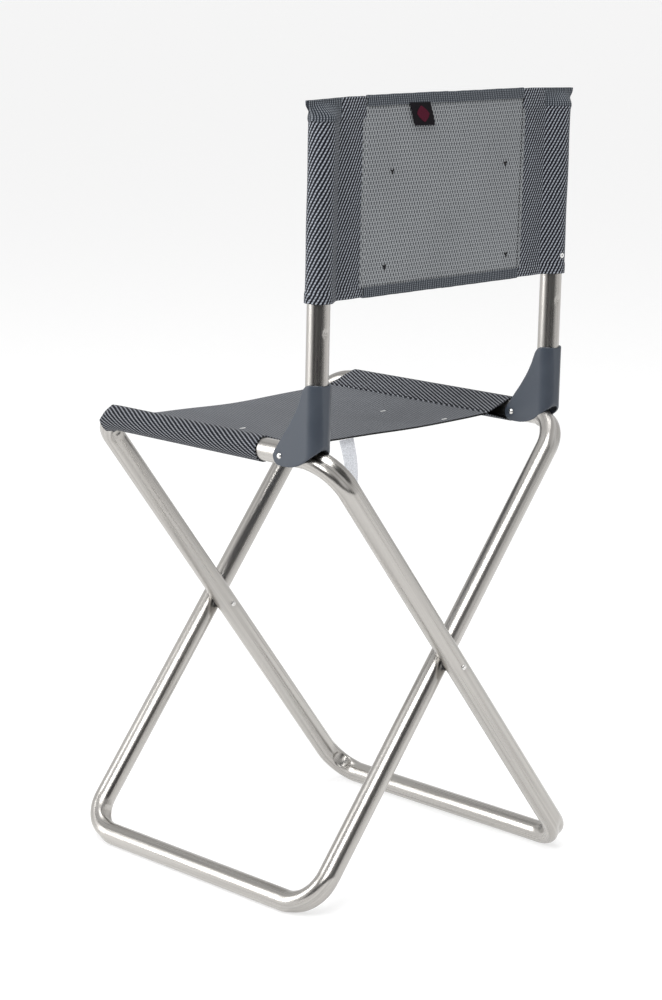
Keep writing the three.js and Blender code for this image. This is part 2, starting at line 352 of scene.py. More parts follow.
def twill(name, degrees, pitch, dots, dark, light, swap=False, fill=0.45):
    """Dark cloth with light yarns in slanting rows, each row a string of floats."""
    s = Shader(name)
    parts = s.split(s.lay())
    u, v = (parts[1], parts[0]) if swap else (parts[0], parts[1])
    wander = s.noise(s.scaled(s.lay(), (120.0, 120.0, 0.0)), detail=2.0)
    u = s.math("MULTIPLY_ADD", wander, 0.0012, u)
    rows = slant(s, u, v, degrees, pitch)
    floats = s.wave(v, dots)
    ridge = s.span(rows, fill, fill + 0.35, smooth=True)
    light_share = s.math("MULTIPLY", ridge, s.span(floats, 0.1, 0.6, 0.35, 1.0, smooth=True))
    threads = s.noise(s.scaled(s.lay(), (2500.0, 2500.0, 0.0)), detail=2.0)
    colour = s.blend(light_share, dark, light)
    colour = s.blend(s.span(threads, 0.4, 0.75, 0, 0.35), colour, dark)
    height = s.math("ADD", s.math("MULTIPLY", light_share, 0.7), s.math("MULTIPLY", threads, 0.3))
    s.set(
        Base_Color=colour,
        Roughness=s.span(light_share, 0, 1, 0.85, 0.6),
        Specular_IOR_Level=0.2,
        Sheen_Weight=0.04,
        Sheen_Roughness=0.4,
        Normal=s.bump(height, 0.00035, 0.7),
    )
    return s.material


def netting(name, tone, dark, across, down, hole, see_through):
    """Open mesh of coated yarn: rows of holes, every other row shifted by half, and fine ribs. The holes are
    painted dark, as painted shade for what is seen through them.
    """
    s = Shader(name)
    parts = s.split(s.lay())
    wander = s.noise(s.scaled(s.lay(), (25.0, 25.0, 0.0)), detail=1.0)
    u = s.math("MULTIPLY_ADD", wander, 0.0012, parts[0])
    v = s.math("MULTIPLY_ADD", wander, 0.0015, parts[1])
    columns = s.math("COSINE", s.math("MULTIPLY", u, 2 * math.pi / across))
    rows = s.math("COSINE", s.math("MULTIPLY", v, math.pi / down))
    open_share = s.math("MULTIPLY_ADD", s.math("MULTIPLY", columns, rows), 0.5, 0.5)
    gap = s.span(open_share, hole, hole + 0.22, smooth=True)
    rib = s.wave(v, down / 2)
    clouds = s.noise(s.scaled(s.lay(), (14.0, 9.0, 0.0)), detail=2.0)
    yarn = s.blend(s.span(clouds, 0.3, 0.7, 0, 0.6), tone, tuple(0.8 * t for t in tone))
    yarn = s.blend(s.math("MULTIPLY", rib, 0.45), yarn, dark)
    # painted shade: the holes take the dark colour instead of being open
    colour = s.blend(gap, yarn, dark)
    s.set(
        Base_Color=colour,
        Roughness=0.75,
        Specular_IOR_Level=0.25,
        Normal=s.bump(s.math("SUBTRACT", rib, open_share), 0.0003, 0.5),
    )
    if see_through:
        clear = s.node("ShaderNodeBsdfTransparent")
        mix = s.node("ShaderNodeMixShader")
        s.put(mix.inputs[0], s.math("MULTIPLY", gap, see_through))
        s.put(mix.inputs[1], s.surface.outputs[0])
        s.put(mix.inputs[2], clear.outputs[0])
        s.put(s.output.inputs["Surface"], mix.outputs[0])
    return s.material


PLAIN_PITCH = 1 / 1400.0  # of plainly woven threads


def plain_cloth(name, tone, dull=0.85):
    """Plainly woven cloth or thread. dull is how dark its dimmer yarns are beside the others."""
    s = Shader(name)
    parts = s.split(s.place())
    woven = s.math("MULTIPLY", s.wave(parts[0], PLAIN_PITCH), s.wave(parts[2], PLAIN_PITCH))
    fuzz = s.noise(s.scaled(s.place(), (900.0, 900.0, 900.0)), detail=3.0)
    s.set(
        Base_Color=s.blend(s.span(fuzz, 0.3, 0.7), tuple(dull * t for t in tone), tone),
        Roughness=0.85,
        Specular_IOR_Level=0.1,
        Normal=s.bump(s.math("ADD", woven, fuzz), 0.0001, 0.5),
    )
    return s.material


NAVY = (0.0035, 0.0045, 0.008)
YARN = (0.315, 0.337, 0.378)

METAL = aluminium()
RIVET = bright_metal("rivet_metal", (0.82, 0.81, 0.79), 0.26)
BRACKET = plastic("bracket_plastic", (0.034, 0.043, 0.058), 0.40, 2600.0)
BLACK = plastic("black_plastic", (0.012, 0.012, 0.013), 0.5, 1800.0)
SLEEVE = twill("sleeve_twill", 62.0, 0.0037, 0.0026, NAVY, YARN, fill=0.48)
POCKET = twill("pocket_twill", 26.6, 0.0074, 0.0013, NAVY, (0.25, 0.262, 0.287), swap=True, fill=0.52)
# the second colour given to each netting is painted shade for its holes, and it also darkens its ribs
SEAT = netting("seat_mesh", (0.172, 0.181, 0.198), (0.014, 0.016, 0.020), 0.0037, 0.0038, 0.5, 0)
# the back netting's yarn is lighter than the seat's: partly its own grey, partly painted light for the light
# that comes through the thin mesh
BACK = netting("back_mesh", (0.30, 0.312, 0.325), (0.045, 0.05, 0.056), 0.0037, 0.0038, 0.5, 0.10)
HEM_CLOTH = twill("hem_twill", 82.0, 0.0026, 0.0020, (0.014, 0.018, 0.024), (0.19, 0.206, 0.23))
THREAD = plain_cloth("black_thread", (0.012, 0.012, 0.013))
PALE_THREAD = plain_cloth("pale_thread", (0.32, 0.33, 0.34))
WHITE_THREAD = plain_cloth("white_thread", (0.66, 0.66, 0.65))
TAG_CLOTH = plain_cloth("tag_cloth", (0.007, 0.006, 0.008))
TAG_RED = plain_cloth("tag_red", (0.062, 0.006, 0.017))
LABEL_CLOTH = plain_cloth("label_cloth", (0.86, 0.88, 0.93), dull=0.55)
EYELET = plastic("eyelet_plastic", (0.72, 0.72, 0.71), 0.4, 900.0)


# ---------------------------------------------------------- frame loops


def leg_direction(side):
    """From the foot up to the rail, in the loop's plane."""
    leg = np.array([side * (RAIL_X + FOOT_X), 0.0, RAIL_Z - TUBE_R])
    return leg / np.linalg.norm(leg)


LEG_LENGTH = math.hypot(RAIL_X + FOOT_X, RAIL_Z - TUBE_R)
PIVOT_UP = LEG_LENGTH * FOOT_X / (RAIL_X + FOOT_X)  # from the foot's centre line to the crossing, along a leg


def loop_line(side):
    """Stations round a loop (centre, outward direction, distance round it), its bends and crossings."""
    y0, up = side * OFFSET, leg_direction(side)
    foot = np.array([-side * FOOT_X, 0.0, TUBE_R])
    y_axis = np.array([0.0, 1.0, 0.0])
    # (end along Y, foot 0 or rail 1), from the rail's rear end down and round
    corners = [(1, 1), (1, 0), (-1, 0), (-1, 1)]
    straights = [LEG_LENGTH - 2 * BEND_R, 2 * (HALF_LENGTH - BEND_R)] * 2
    arc = BEND_R * math.pi / 2
    stations, bends, crossings, s = [], [], [], 0.0
    for k, (end, top) in enumerate(corners):
        outs = [np.array([0, 1.0]), np.array([1.0, 0])]  # (y, up) outward before and after the bend
        outs = outs[::-1] if k % 2 == 1 else outs
        vertical = 1 if top else -1
        before, after = (np.array([o[0] * end, o[1] * vertical]) for o in outs)
        middle = np.array([end * (HALF_LENGTH - BEND_R), top * LEG_LENGTH - vertical * BEND_R])
        bends.append(s + arc / 2)
        for t in np.linspace(0, 1, 45)[:-1]:
            turn = t * math.pi / 2
            out = before * math.cos(turn) + after * math.sin(turn)
            stations.append((middle + BEND_R * out, out, s + t * arc))
        s += arc
        start = middle + BEND_R * after
        ahead = np.array([after[1], -after[0]])
        if np.dot(ahead, before) > 0:
            ahead = -ahead
        length = straights[k]
        near = [np.arange(0, 16, 1.3), np.arange(length - 16, length, 1.3), np.arange(16, length - 16, 12.0)]
        if k % 2 == 0:
            crossing = abs(PIVOT_UP - start[1])
            near.append(np.arange(crossing - 24, crossing + 24, 1.3))
            crossings.append((s + crossing, end))
        for d in np.unique(np.round(np.concatenate(near), 3)):
            stations.append((start + ahead * d, after, s + d))
        s += length
    plane = np.array([p for p, _, _ in stations])
    flat_out = np.array([o for _, o, _ in stations])
    along = np.array([d for _, _, d in stations])
    centres = foot + plane[:, :1] * y_axis + plane[:, 1:] * up + np.array([0, y0, 0])
    out = flat_out[:, :1] * y_axis + flat_out[:, 1:] * up
    return centres, out, along, np.array(bends), crossings, s


BAND_DEPTH, BAND_HALF = 4.3, math.radians(62)  # the pressed outside of a bend
DIMPLE_DEPTH, DIMPLE_HALF, DIMPLE_LONG = 3.8, math.radians(44), 15.0  # the pressed inside of a bend
CROSS_DEPTH, CROSS_HALF = 3.0, math.radians(45)


def lobe(angle, half):
    return np.where(np.abs(angle) < half, np.cos(np.clip(angle / half, -1, 1) * math.pi / 2) ** 2, 0.0)


def build_loop(side, name):
    centres, out, along, bends, crossings, total = loop_line(side)
    normal = np.broadcast_to(np.cross(leg_direction(side), [0.0, 1.0, 0.0]), out.shape)

    def radius(s, angle):
        r = np.full(s.shape, TUBE_R)
        from_out, from_in = wrapped(angle, 0), wrapped(angle, math.pi)
        for bend in bends:
            t = (s - bend + total / 2) % total - total / 2
            press = fade(t, 15, 30)
            r -= BAND_DEPTH * press * lobe(from_out, BAND_HALF)
            r += 0.5 * press * np.sin(angle) ** 2
            spot = np.clip(1 - (t / DIMPLE_LONG) ** 2 - (from_in / DIMPLE_HALF) ** 2, 0, 1)
            r -= DIMPLE_DEPTH * spot**0.7
        for crossing, end in crossings:
            t = s - crossing
            facing = from_in if side * end > 0 else from_out
            depth = CROSS_DEPTH if side < 0 else CROSS_DEPTH / 2
            r -= depth * fade(t, 3, 20) * lobe(facing, CROSS_HALF)
            away = from_out if side * end > 0 else from_in
            r -= 0.5 * fade(t, 2, 7) * lobe(away, math.radians(32))
        return r

    loop = sweep(f"loop_{name}", centres, out, normal, along, radius, 56, closed=True, sharp=70)
    return finish_piece(loop, f"frame_{name}", METAL, "tube", f"frame_loop_{name}")


# ----------------------------------------------------- rivets and washers


RIVET_HEAD, RIVET_RISE = 2.9, 1.3  # radius and height of a head


def rivet_profile(low, high, shaft, head=RIVET_HEAD, rise=RIVET_RISE):
    """Both ends domed, each with a small hollow at its centre."""
    end = [
        (0, 0.62), (0.16, 0.64), (0.26, 0.98), (0.42, 0.97), (0.66, 0.82),
        (0.86, 0.5), (0.97, 0.2), (1.0, 0.0), (0.97, -0.08),
    ]
    lower = [(r * head, low - h * rise) for r, h in end]
    upper = [(r * head, high + h * rise) for r, h in reversed(end)]
    return lower + [(shaft, low + 0.1), (shaft, high - 0.1)] + upper


def build_rivets():
    for end, name in ((1, "rear"), (-1, "front")):
        high = end * (OFFSET + HALF_LENGTH + TUBE_R - 0.2)
        low = end * (HALF_LENGTH - OFFSET - TUBE_R + 0.2)
        profile = rivet_profile(min(low, high), max(low, high), 2.2)
        piece = lathe(f"rivet_{name}", profile, (0, 1, 0), (0, 0, PIVOT_Z), 32)
        finish_piece(piece, "frame_left", RIVET, "rivet", f"pivot_rivet_{name}")
        ring = [(3.0, -0.5), (7.6, -0.5), (8.0, -0.2), (8.0, 0.2), (7.6, 0.5), (3.0, 0.5)]
        washer = lathe(f"washer_{name}", ring, (0, 1, 0), (0, end * HALF_LENGTH, PIVOT_Z))
        finish_piece(washer, "frame_left", BLACK, "black_plastic", f"pivot_washer_{name}")


CHEEK_OUT = 13.3
CHEEK_IN = 11.4


def rivet_y(side):
    return side * OFFSET + HALF_LENGTH - RIVET_BACK


def reclined(points, side):
    """Leans points back about the post's foot on the rail."""
    y = rivet_y(side) + SOCKET_Y
    points = np.array(points, float)
    dy, dz = points[..., 1] - y, points[..., 2] - RAIL_Z
    points[..., 1] = y + dy * math.cos(RECLINE) + dz * math.sin(RECLINE)
    points[..., 2] = RAIL_Z - dy * math.sin(RECLINE) + dz * math.cos(RECLINE)
    return points


BUTTON_UP = 118.0  # the small rivet in a post, above the rail
TUBE_WALL = 1.2


def build_post(side, name):
    x, y = side * RAIL_X, rivet_y(side) + SOCKET_Y
    post_axis = (0, math.sin(RECLINE), math.cos(RECLINE))
    inner = TUBE_R - TUBE_WALL
    heights = [
        POST_FOOT + 0.4,
        *np.arange(30, BUTTON_UP - 10, 12.0),
        *np.arange(BUTTON_UP - 10, BUTTON_UP + 10, 0.7),
        *np.arange(BUTTON_UP + 12, POST_TOP, 14.0),
        POST_TOP - 0.4,
    ]
    profile = [(TUBE_R - 0.6, POST_FOOT), *((TUBE_R - 0.15, h) for h in heights), (TUBE_R - 0.6, POST_TOP)]
    profile += [(inner, POST_TOP), (inner, POST_FOOT)]

    def dent(points):
        hollow = (points[:, 0] - x) ** 2 + (points[:, 2] - RAIL_Z - BUTTON_UP) ** 2
        behind = (points[:, 1] > y) & (np.hypot(points[:, 0] - x, points[:, 1] - y) > inner + 0.5)
        points[:, 1] -= np.where(behind, 0.9 * np.exp(-hollow / 3.0**2), 0)
        return points

    post = lathe(f"post_tube_{name}", profile, post_axis, (x, y, RAIL_Z), 96, dent, sharp=60)
    finish_piece(post, f"back_frame_{name}", METAL, "tube", f"post_{name}")
    h = POST_TOP + 0.2
    cap = [
        (0, h - 12), (9, h - 12), (9.2, h), (10.6, h), (10.9, h + 0.3),
        (10.9, h + 1.0), (10.2, h + 1.9), (8.6, h + 2.4), (0, h + 2.6),
    ]
    piece = lathe(f"cap_{name}", cap, post_axis, (x, y, RAIL_Z))
    finish_piece(piece, f"back_frame_{name}", BLACK, "black_plastic", f"post_cap_{name}")
    button = [
        (0, 8.0), (1.8, 8.0), (1.8, 9.7), (2.2, 9.8), (2.3, 10.0),
        (1.9, 10.25), (1.0, 10.3), (0.6, 10.1), (0, 10.05),
    ]
    at = reclined([x, y, RAIL_Z + BUTTON_UP], side)
    piece = lathe(f"post_button_{name}", button, (0, 1, 0), at, 32)
    finish_piece(piece, f"back_frame_{name}", METAL, "rivet", f"post_rivet_{name}")


# --------------------------------------------------------------- brackets

CHEEK = [
    (-9.4, -1), (-7.5, -6), (-3.5, -8.9), (1.5, -9.6), (10, -9.6), (19, -8.4), (28.5, -5),
    (39, 2), (45.5, 8), (47.6, 12), (48.2, 15), (48.2, 68.5), (47.4, 70), (45, 70.6), (38, 70.6),
    (34.5, 69.6), (31, 66.6), (28.4, 61), (24, 49), (14, 32.5), (4, 19.5), (-4, 8.5), (-8, 3.5),
]


def rounded(points, passes=2):
    """A closed outline with its corners cut again and again, so that it runs smoothly."""
    points = np.array(points, float)
    for _ in range(passes):
        ahead = np.roll(points, -1, axis=0)
        points = np.stack([0.75 * points + 0.25 * ahead, 0.25 * points + 0.75 * ahead], 1).reshape(-1, 2)
    return points


def prism(name, outline, x_low, x_high):
    """An outline in (y, z) drawn out along x."""
    outline = np.asarray(outline, float)
    count = len(outline)
    points = np.concatenate([np.column_stack([np.full(count, x), outline]) for x in (x_low, x_high)])
    faces = [list(range(count))[::-1], list(range(count, 2 * count))]
    faces += [[k, (k + 1) % count, (k + 1) % count + count, k + count] for k in range(count)]
    return new_object(name, points, faces)


def block(name, side, front, foot, top, half_wide):
    """A box astride the rail, from that far behind the bracket's rivet back to the socket's middle."""
    x = side * RAIL_X
    outline = np.array([[front, foot], [SOCKET_Y, foot], [SOCKET_Y, top], [front, top]])
    return prism(name, outline + [rivet_y(side), RAIL_Z], x - half_wide, x + half_wide)


def cut(body, tools, operation="DIFFERENCE"):
    for tool in tools:
        modifier = body.modifiers.new("cut", "BOOLEAN")
        modifier.operation, modifier.solver, modifier.object = operation, "EXACT", tool
    bake(body)
    for tool in tools:
        bpy.data.objects.remove(tool)


def bake(obj):
    """Applies the modifiers to the mesh."""
    made = bpy.data.meshes.new_from_object(obj.evaluated_get(bpy.context.evaluated_depsgraph_get()))
    obj.modifiers.clear()
    obj.data = made


def build_bracket(side, name):
    x, y = side * RAIL_X, rivet_y(side)
    cheek = rounded(CHEEK) + [y, RAIL_Z]
    body = prism(f"bracket_shell_{name}", cheek, x - CHEEK_OUT, x + CHEEK_OUT)
    at = reclined([x, y + SOCKET_Y, RAIL_Z], side)
    post_axis = (0, math.sin(RECLINE), math.cos(RECLINE))
    wrap = lathe("wrap", [(0, -30), (CHEEK_OUT, -30), (CHEEK_OUT, 90), (0, 90)], post_axis, at, 96)
    cut(wrap, [block("front", side, -30, -40, 100, 20)], "UNION")
    cut(body, [wrap], "INTERSECT")
    bore = lathe("bore", [(0, -40), (TUBE_R + 0.25, -40), (TUBE_R + 0.25, 95), (0, 95)], post_axis, at, 96)
    slot = block("slot", side, -40, -60, 110, CHEEK_IN)
    hole = lathe("hole", [(0, -20), (2.4, -20), (2.4, 20), (0, 20)], (1, 0, 0), (x, y, RAIL_Z), 32)
    cut(body, [slot, bore, hole])
    remesh = body.modifiers.new("skin", "REMESH")
    remesh.mode, remesh.voxel_size = "VOXEL", 0.62 * MM
    smooth = body.modifiers.new("soft", "SMOOTH")
    smooth.factor, smooth.iterations = 0.5, 5
    bake(body)
    body.data.polygons.foreach_set("use_smooth", [True] * len(body.data.polygons))
    finish_piece(body, f"back_frame_{name}", BRACKET, "bracket_plastic", f"bracket_{name}")
    reach = CHEEK_OUT - 0.1
    pin = lathe(f"pin_{name}", rivet_profile(x - reach, x + reach, 2.0), (1, 0, 0), (0, y, RAIL_Z), 32)
    finish_piece(pin, f"frame_{name}", RIVET, "rivet", f"bracket_rivet_{name}")


# ------------------------------------------------------------------- seat


def tube_drop(side, y):
    """How far the tube has turned away down its leg under the seat's front end."""
    past = np.clip(side * OFFSET - HALF_LENGTH + BEND_R - y, 0, BEND_R * 0.95)
    return BEND_R - np.sqrt(BEND_R**2 - past**2)


DROP_SIDE, DROP_DOWN = leg_direction(1)[0], leg_direction(1)[2]  # inboard and down, along a leg
SLACK_SIDE = math.atan2(DROP_DOWN, DROP_SIDE)  # the side of the rail from which its bend turns away
SLACK_SHARE = 0.85  # how nearly the cloth lies down on the bend there
SEAM_DROP = 0.7  # share of the tube's drop that the seam follows


def seat_seam(side, y):
    """(distance from the centre line, height) of the seam beside the rail."""
    drop = SEAM_DROP * tube_drop(side, y)
    return RAIL_X - SEAT_SEAM - drop * DROP_SIDE, RAIL_Z - 0.5 - drop * DROP_DOWN


def seat_wrinkle(x, y):
    """Slack of the seat cloth: long shallow waves, and pulls running in from the front corners."""
    waves = 0.55 * np.sin(x / 37 + y / 61) + 0.4 * np.sin(x / 23 - y / 45 + 1.3)
    front = np.clip((-70 - y) / 70, 0, 1) ** 2
    return waves * np.clip(1 - (x / 134) ** 2, 0, 1) - 1.6 * front * np.clip(1 - (x / 120) ** 2, 0, 1)


SEAT_REACH = 134.0  # centre line to seam


def seat_height(x, y):
    """Middle of the open sheet's thickness."""
    return SEAT_SAG_Z + (RAIL_Z - 0.5 - SEAT_SAG_Z) * np.abs(x / SEAT_REACH) ** 2.2 + seat_wrinkle(x, y)


def build_seat(side, name):
    skin = TUBE_R + 0.35 + SEAT_CLOTH / 2
    turn = math.acos(skin / SEAT_SEAM)  # where the cloth leaves the tube, from the inboard side
    run = math.sqrt(SEAT_SEAM**2 - skin**2)
    wrap = skin * (2 * math.pi - 2 * turn)
    fold = 5.0  # the sewn edge runs on past the seam
    marks = [0, SEAT_REACH, SEAT_REACH + run, SEAT_REACH + run + wrap, SEAT_REACH + 2 * run + wrap]
    total = marks[-1] + fold
    u = np.concatenate([
        np.arange(0, SEAT_REACH - 8, 4.0), np.arange(SEAT_REACH - 8, marks[2], 1.0),
        np.linspace(marks[2], marks[3], 40)[:-1], np.arange(marks[3], total, 2.5), [total],
    ])
    v = np.linspace(SEAT_FRONT, SEAT_REAR, 121)
    grid_v, grid_u = np.meshgrid(v, u, indexing="ij")
    seam_x, seam_z = seat_seam(side, grid_v)
    drop = tube_drop(side, grid_v)

    def at_tube(angle):
        """The cloth on the tube: flat where the bend turns away, and carried down with it beneath."""
        follow = (1 - DROP_SIDE * np.cos(angle) - DROP_DOWN * np.sin(angle)) / 2 * drop
        reach = np.minimum(skin, (skin - SLACK_SHARE * drop) / np.clip(np.cos(angle - SLACK_SIDE), 0.05, 1))
        return np.stack([
            RAIL_X - follow * DROP_SIDE + reach * np.cos(angle),
            RAIL_Z - follow * DROP_DOWN + reach * np.sin(angle),
        ], -1)

    # the open sheet, from the centre line out to the seam
    share = np.clip(grid_u / SEAT_REACH, 0, 1)
    sheet_x = share * seam_x
    slack = 0.35 * np.sin(grid_v / 1.45) * np.exp(-((share - 1) * SEAT_REACH / 7) ** 2)
    sheet_z = SEAT_SAG_Z + (seam_z - SEAT_SAG_Z) * share**2.2 + seat_wrinkle(side * sheet_x, grid_v) + slack
    # the pocket: up over the tube, round it and back under itself
    seam_point = np.stack([seam_x, seam_z], -1)
    lift = np.clip((grid_u - marks[1]) / run, 0, 1)[..., None]
    first, last = at_tube(math.pi - turn + 0 * grid_u), at_tube(math.pi + turn + 0 * grid_u)
    top = (seam_point + [0, 0.6]) * (1 - lift) + first * lift
    round_tube = at_tube(math.pi - turn - (grid_u - marks[2]) / skin)
    back = grid_u - marks[3]
    tail = marks[4] - marks[3]
    under = last + (seam_point - [0, 1.0] - last) * np.clip(back / tail, 0, 1)[..., None]
    under[..., 0] -= np.clip(back - tail, 0, None)
    flat = np.stack([sheet_x, sheet_z], -1)
    place = np.where((grid_u <= marks[1])[..., None], flat, top)
    place = np.where((grid_u >= marks[2])[..., None], round_tube, place)
    place = np.where((grid_u > marks[3])[..., None], under, place)
    middle = np.stack([side * place[..., 0], grid_v, place[..., 1]], -1)
    lay = np.stack([side * grid_u, grid_v], -1)
    if side < 0:
        middle, lay = middle[:, ::-1], lay[:, ::-1]
    seat = cloth(f"seat_cloth_{name}", middle, lay, SEAT_CLOTH)
    finish_piece(seat, f"seat_{name}", SEAT, "seat_mesh", f"seat_sling_{name}")
    seat.data.materials.append(POCKET)
    inboard = (SEAT_REACH - 0.5) * MM
    flat = seat.data.attributes["lay"].data
    positions = np.array([flat[p.vertices[0]].vector[0] for p in seat.data.polygons])
    index = (np.abs(positions) > inboard).astype(np.int32)
    seat.data.polygons.foreach_set("material_index", index)
    # stitches along the seam
    stitches = []
    for y in np.arange(SEAT_FRONT + 3, SEAT_REAR - 2, 3.7):
        px, pz = seat_seam(side, y)
        at = side * (px + 1.6)
        z = pz + 1.25 + 1.6 * math.cos(turn) / math.sin(turn)
        stitches.append(((at, y, z), (at, y + 2.1, z)))
    sewn = capsules(f"seat_stitches_{name}", stitches, 0.32)
    finish_piece(sewn, f"seat_{name}", THREAD, "twill")
    # woven edge along the rear
    xs = side * np.linspace(0, SEAT_REACH - 1, 220)
    zs = seat_height(xs, np.full_like(xs, SEAT_REAR))
    edge = np.stack([xs, np.full_like(xs, SEAT_REAR - 0.2), zs], -1)
    up = np.tile([0.0, 0.0, 1.0], (len(xs), 1))
    out = np.tile([0.0, 1.0, 0.0], (len(xs), 1))
    selvage = sweep(
        f"seat_selvage_{name}", edge, out, up, np.abs(xs),
        lambda s, a: 0.75 + 0.22 * np.sin(s * 2 * math.pi / 1.75), 10, sharp=80,
    )
    finish_piece(selvage, f"seat_{name}", THREAD, "twill")


def bar_tack(name, x, y, body):
    """A dense little bar of pale stitches, square to the rails."""
    z = seat_height(x, y) + SEAT_CLOTH / 2 + 0.15
    ends = [((x - 3 + 0.55 * k, y - 0.9, z), (x - 3 + 0.55 * k, y + 0.9, z)) for k in range(12)]
    piece = capsules(name, ends, 0.4)
    finish_piece(piece, body, WHITE_THREAD, "white_label")


LABEL_WIDE, LABEL_LONG = 21.0, 50.0


def build_label():
    """A blank ribbon label sewn under the rear edge and curling away."""
    rows = np.linspace(0, 1, 26)
    columns = np.linspace(-LABEL_WIDE / 2, LABEL_WIDE / 2, 12)
    t, c = np.meshgrid(rows, columns, indexing="ij")
    turn = 0.1 + 0.12 * t
    x = 60 - 6 * np.sin(1.35 * t) + c * np.cos(turn)
    y = SEAT_REAR - 5 + 3.0 * np.sin(t * 2.6) + c * np.sin(turn)
    z = 445.0 - 48.0 * t + 0.1 * c * t
    label = cloth("label_ribbon", np.stack([x, y, z], -1), np.stack([c, LABEL_LONG * t], -1), 0.4)
    finish_piece(label, "seat_left", LABEL_CLOTH, "white_label", "care_label")


# ------------------------------------------------------------------- back

POST_SPAN = math.hypot(RAIL_X, OFFSET)  # from a post's axis to the chair's centre line


def back_place(side, inboard, rear, height):
    """A point from its distances inboard of the post, behind the line of posts and above the rail."""
    to_centre = np.array([-side * RAIL_X, -side * OFFSET, 0]) / POST_SPAN
    behind = np.array([-to_centre[1], to_centre[0], 0])
    if behind[1] < 0:
        behind = -behind
    post = np.array([side * RAIL_X, rivet_y(side) + SOCKET_Y, RAIL_Z])
    points = post + np.asarray(inboard)[..., None] * to_centre + np.asarray(rear)[..., None] * behind
    points = points + np.asarray(height)[..., None] * np.array([0.0, 0.0, 1.0])
    return reclined(points, side)


FLATTEN = 17.0  # height over which the sleeve's top is pressed flat
FLARE = 21.0  # outward reach of the flattened top
SLEEVE_HEM = 19.0
CORNER_DROP = 1.5


def build_sleeve(side, name):
    """Side panel: from the seam out, round the post and back again as a second layer."""
    skin = TUBE_R + 0.9 + BACK_CLOTH / 2
    seam = POST_SPAN - BACK_SEAM_X
    turn = math.acos(skin / VALLEY)
    run = math.sqrt(VALLEY**2 - skin**2)
    wrap = skin * (2 * math.pi - 2 * turn)
    flat_part = seam - VALLEY
    marks = np.cumsum([0, flat_part, run, wrap, run, flat_part])
    u = np.concatenate([
        np.linspace(0, marks[1], 22)[:-1], np.linspace(marks[1], marks[2], 14)[:-1],
        np.linspace(marks[2], marks[3], 44)[:-1], np.linspace(marks[3], marks[4], 14)[:-1],
        np.linspace(marks[4], marks[5], 22),
    ])
    h = np.arange(BACK_LOW, BACK_HIGH + 0.1, (BACK_HIGH - BACK_LOW) / 104)
    grid_h, grid_u = np.meshgrid(h, u, indexing="ij")
    half = marks[5] / 2
    # outline with the loop open, drawn from the rear layer round to the front layer
    d = np.abs(grid_u - half)  # distance along the cloth from the outermost point
    layer = np.where(grid_u < half, 1.0, -1.0)
    reach = wrap / 2
    around = np.clip(d / skin, 0, math.pi - turn)
    inboard = -skin * np.cos(around)
    rear = skin * np.sin(around)
    slope = np.clip(d - reach, 0, run)
    inboard = inboard + slope * math.sin(turn)
    rear = rear - slope * math.cos(turn)
    beyond = np.clip(d - reach - run, 0, None)
    inboard = inboard + beyond
    rear = np.where(beyond > 0, 0.0, rear)
    # the top is pressed flat, so it grows wider as it thins
    flat = fade(BACK_HIGH - grid_h, 2.0, FLATTEN)
    wide = reach + run
    inboard_flat = np.where(d < wide, -FLARE + d * (VALLEY + FLARE) / wide, inboard)
    inboard = inboard + (inboard_flat - inboard) * flat
    rear = rear * (1 - 0.95 * flat)
    layers = BACK_CLOTH / 2 + 0.15
    rear = np.maximum(rear, layers + 0.8 * np.exp(-(((beyond - flat_part / 2) / 9) ** 2)))
    # the turned-down hem stands proud of the panel, and soft pulls run from it and from the seam
    hem = 0.9 * fade(BACK_HIGH - grid_h, SLEEVE_HEM, SLEEVE_HEM + 1.2)
    hem = hem + 0.7 * fade(grid_h - BACK_LOW, HEM, HEM + 1.2)
    pull = 0.45 * np.sin(grid_u / 3.1 + 0.5 * np.sin(grid_h / 19)) * np.exp(-(BACK_HIGH - grid_h) / 22)
    pull = pull + 0.22 * np.sin(grid_h / 13 + grid_u / 9)
    rear = rear + hem + np.clip(pull, -0.3, 1) * np.clip(d / 10, 0, 1)
    inboard = inboard - 0.6 * hem * fade(d, 2, 14)
    corner = CORNER_DROP * np.clip((grid_h - BACK_HIGH + 30) / 30, 0, 1) * np.clip(1 - d / 60, 0, 1)
    middle = back_place(side, inboard, layer * rear, grid_h - corner)
    lay = np.stack([-side * grid_u, grid_h], -1)
    sleeve = cloth(f"back_sleeve_{name}", middle, lay, BACK_CLOTH)
    finish_piece(sleeve, f"back_cloth_{name}", SLEEVE, "twill", f"back_side_{name}")
    sleeve.data.materials.append(HEM_CLOTH)
    top = (BACK_HIGH - SLEEVE_HEM) * MM
    heights = np.zeros(len(sleeve.data.vertices) * 3, np.float32)
    sleeve.data.attributes["lay"].data.foreach_get("vector", heights)
    cut_u, cut_h = heights.reshape(-1, 3)[:, :2].T
    over_post = np.abs(np.abs(cut_u) - half * MM) < (wide + 3) * MM
    index = [int(cut_h[p.vertices[0]] > top and over_post[p.vertices[0]]) for p in sleeve.data.polygons]
    sleeve.data.polygons.foreach_set("material_index", index)
    return sleeve, marks[5]


def build_mesh(side, name):
    seam = POST_SPAN - BACK_SEAM_X
    u = np.linspace(POST_SPAN, seam - 4, 60)
    h = np.arange(BACK_LOW + 1, BACK_HIGH - 0.5, 3.0)
    grid_h, grid_u = np.meshgrid(h, u, indexing="ij")
    middle = back_place(side, grid_u, 1.1 + 0 * grid_u, grid_h)
    lay = np.stack([side * (POST_SPAN - grid_u), grid_h], -1)
    mesh = cloth(f"back_netting_{name}", middle, lay, 0.8)
    finish_piece(mesh, f"back_cloth_{name}", BACK, "back_mesh", f"back_mesh_{name}")
    edges = {"low": (BACK_LOW - 0.6, BACK_LOW + HEM), "top": (BACK_HIGH - HEM, BACK_HIGH + 0.6)}
    hems = [build_hem(side, name, label, low, high, seam) for label, (low, high) in edges.items()]


